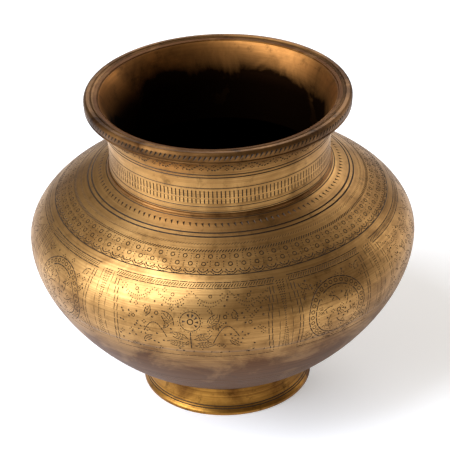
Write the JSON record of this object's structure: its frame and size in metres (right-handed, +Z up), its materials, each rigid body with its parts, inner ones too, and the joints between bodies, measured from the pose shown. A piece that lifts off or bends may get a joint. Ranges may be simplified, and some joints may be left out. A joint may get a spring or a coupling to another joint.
{
  "type": "lota water pot",
  "caption": "Squat round water pot with a spool neck, a banded flared rim and a flared foot, built from brazed turned shells and rings.",
  "frame": {"origin": "middle of the foot's resting face, on the vessel's axis", "axes": "+Z up along the axis of revolution, from foot to mouth; X and Y are any two directions across"},
  "size_m": [0.172, 0.172, 0.145],
  "materials": {
    "body_brass": "turned and chased brass with a dark handling patina",
    "rim_brass": "worn cast brass with dark patina in the chasing",
    "foot_brass": "polished turned brass",
    "braze": "darkened brazing spelter"
  },
  "bodies": {
    "root": {"foot_ring": "foot_brass", "foot_braze": "braze", "bowl_shell": "body_brass", "belly_braze": "braze", "shoulder_shell": "body_brass", "neck_braze": "braze", "neck_collar": "body_brass", "rim_braze": "braze", "rim_band": "rim_brass"}
  },
  "joints": []
}
